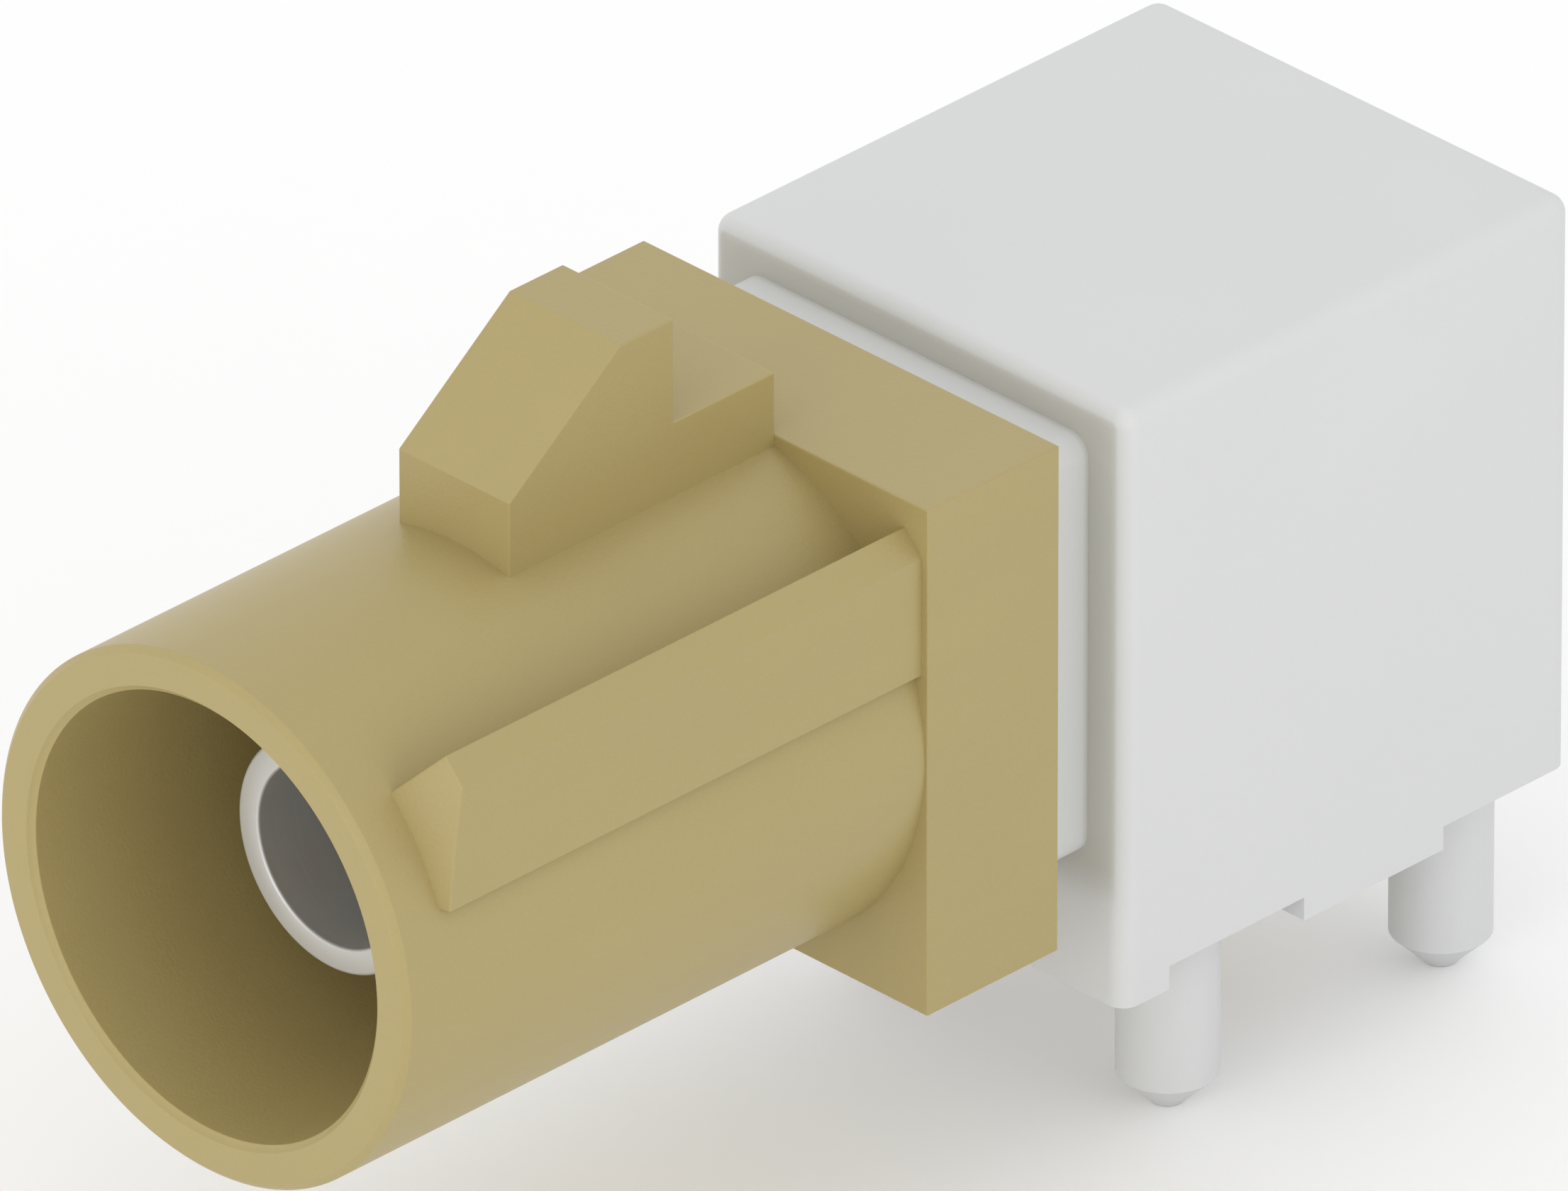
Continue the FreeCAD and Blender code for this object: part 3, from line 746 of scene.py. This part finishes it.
def sighted_camera(stage):
    """A camera whose back points to (sin a cos e, -cos a cos e, sin e), with the azimuth a and
    the elevation e, so far off that the frame width fills the picture at the plug's middle."""
    a, e = stage.azimuth, stage.elevation
    back = Vector((math.sin(a) * math.cos(e), -math.cos(a) * math.cos(e), math.sin(e)))
    right = Vector((math.cos(a), math.sin(a), 0.0))
    up = back.cross(right)
    data = bpy.data.cameras.new("camera")
    data.sensor_width = 36.0
    data.lens = stage.lens
    distance = stage.frame_width * stage.lens / data.sensor_width
    data.clip_start = 0.1 * distance
    data.clip_end = 2.0 * distance
    camera = new_object("camera", data)
    depth = PLUG_MIDDLE.dot(back)
    camera.location = right * SIGHT_RIGHT + up * SIGHT_UP + back * (depth + distance)
    camera.rotation_mode = "QUATERNION"
    camera.rotation_quaternion = Matrix((right, up, back)).transposed().to_quaternion()
    return camera


# Operators

class PLUG_OT_shroud(Operator):
    """Model the moulded shroud with its rounded edges"""

    bl_idname = "plug.shroud"
    bl_label = "Shroud"

    def execute(self, context):
        sizes = context.scene.plug_shroud
        shells = [tube_shell(sizes), flange_shell(sizes), nose_shell(sizes),
                  key_shell(sizes, 1), key_shell(sizes, -1)]
        plastic = moulded_plastic(context.scene.plug_colours, context.scene.plug_finish,
                                  bore=(sizes.bore, sizes.bore + sizes.bevel))
        new_piece("shroud", shells, "housing", plastic)
        return {"FINISHED"}


class PLUG_OT_casting(Operator):
    """Finish the cast block with its neck and posts, and the cap in its back"""

    bl_idname = "plug.casting"
    bl_label = "Casting"

    def execute(self, context):
        colours = context.scene.plug_colours
        sizes = context.scene.plug_finish
        dress("body", plated_casting(colours, sizes))
        dress("rear_cap", turned_metal("plated_cap", colours.cap, sizes.turning_pitch,
                                       ACROSS_DISC, metallic=0.15, rough=0.42))
        return {"FINISHED"}


class PLUG_OT_contacts(Operator):
    """Model the outer contact, and finish the mating pin and the signal tail"""

    bl_idname = "plug.contacts"
    bl_label = "Contacts"

    def execute(self, context):
        colours = context.scene.plug_colours
        pitch = context.scene.plug_finish.turning_pitch
        sleeve = context.scene.plug_contact
        plating = turned_metal("plated_contact", colours.contact, pitch, TURNED_ABOUT_Y,
                               metallic=0.45, rough=0.40,
                               bore=(sleeve.inner, sleeve.inner + sleeve.edge))
        new_piece("outer_sleeve", [contact_shell(sleeve)], "outer_contact",
                  plating)
        dress("centre_contact", turned_metal("gold_contact", colours.gold, pitch,
                                             TURNED_ABOUT_Y, metallic=1.0, rough=0.24))
        dress("tail_pin", turned_metal("gold_tail", colours.gold, pitch,
                                       TURNED_ABOUT_Z, metallic=1.0, rough=0.26))
        return {"FINISHED"}


class PLUG_OT_insulators(Operator):
    """Finish the bead round the mating pin and the bush round the tail"""

    bl_idname = "plug.insulators"
    bl_label = "Insulators"

    def execute(self, context):
        material = fluoropolymer(context.scene.plug_colours)
        dress("front_insulator", material)
        dress("tail_insulator", material)
        return {"FINISHED"}


class PLUG_OT_stage(Operator):
    """Set up the floor, the backdrop, the lamps and the camera"""

    bl_idname = "plug.stage"
    bl_label = "Stage"

    def execute(self, context):
        stage = context.scene.plug_stage
        floor = floor_disc()
        floor.data.materials.append(floor_paper(context.scene.plug_colours))
        backdrop(stage.sky)
        lamp("key_lamp", stage.key, *KEY_LAMP)
        lamp("fill_lamp", stage.fill, *FILL_LAMP)
        context.scene.camera = sighted_camera(stage)
        context.scene.view_settings.view_transform = "Standard"
        return {"FINISHED"}


GROUPS = {
    "plug_shroud": ShroudSizes,
    "plug_contact": ContactSizes,
    "plug_finish": FinishSizes,
    "plug_colours": PlugColours,
    "plug_stage": PlugStage,
}
OPERATORS = (PLUG_OT_shroud, PLUG_OT_casting, PLUG_OT_contacts, PLUG_OT_insulators, PLUG_OT_stage)


class PLUG_PT_parts(Panel):
    """Lists the plug's operators, sizes and colours"""

    bl_idname = "PLUG_PT_parts"
    bl_label = "Board Plug"
    bl_space_type = "VIEW_3D"
    bl_region_type = "UI"
    bl_category = "Board Plug"

    def draw(self, context):
        for operator in OPERATORS:
            self.layout.operator(operator.bl_idname)
        for name, group in GROUPS.items():
            box = self.layout.box()
            for setting in group.__annotations__:
                box.prop(getattr(context.scene, name), setting)


CLASSES = (*GROUPS.values(), *OPERATORS, PLUG_PT_parts)


def register():
    for item in CLASSES:
        bpy.utils.register_class(item)
    for name, group in GROUPS.items():
        setattr(bpy.types.Scene, name, PointerProperty(type=group))


def unregister():
    for name in GROUPS:
        delattr(bpy.types.Scene, name)
    for item in reversed(CLASSES):
        bpy.utils.unregister_class(item)


def main():
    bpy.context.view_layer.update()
    register()
    bpy.ops.plug.shroud()
    bpy.ops.plug.casting()
    bpy.ops.plug.contacts()
    bpy.ops.plug.insulators()
    bpy.ops.plug.stage()


if __name__ == "__main__":
    main()
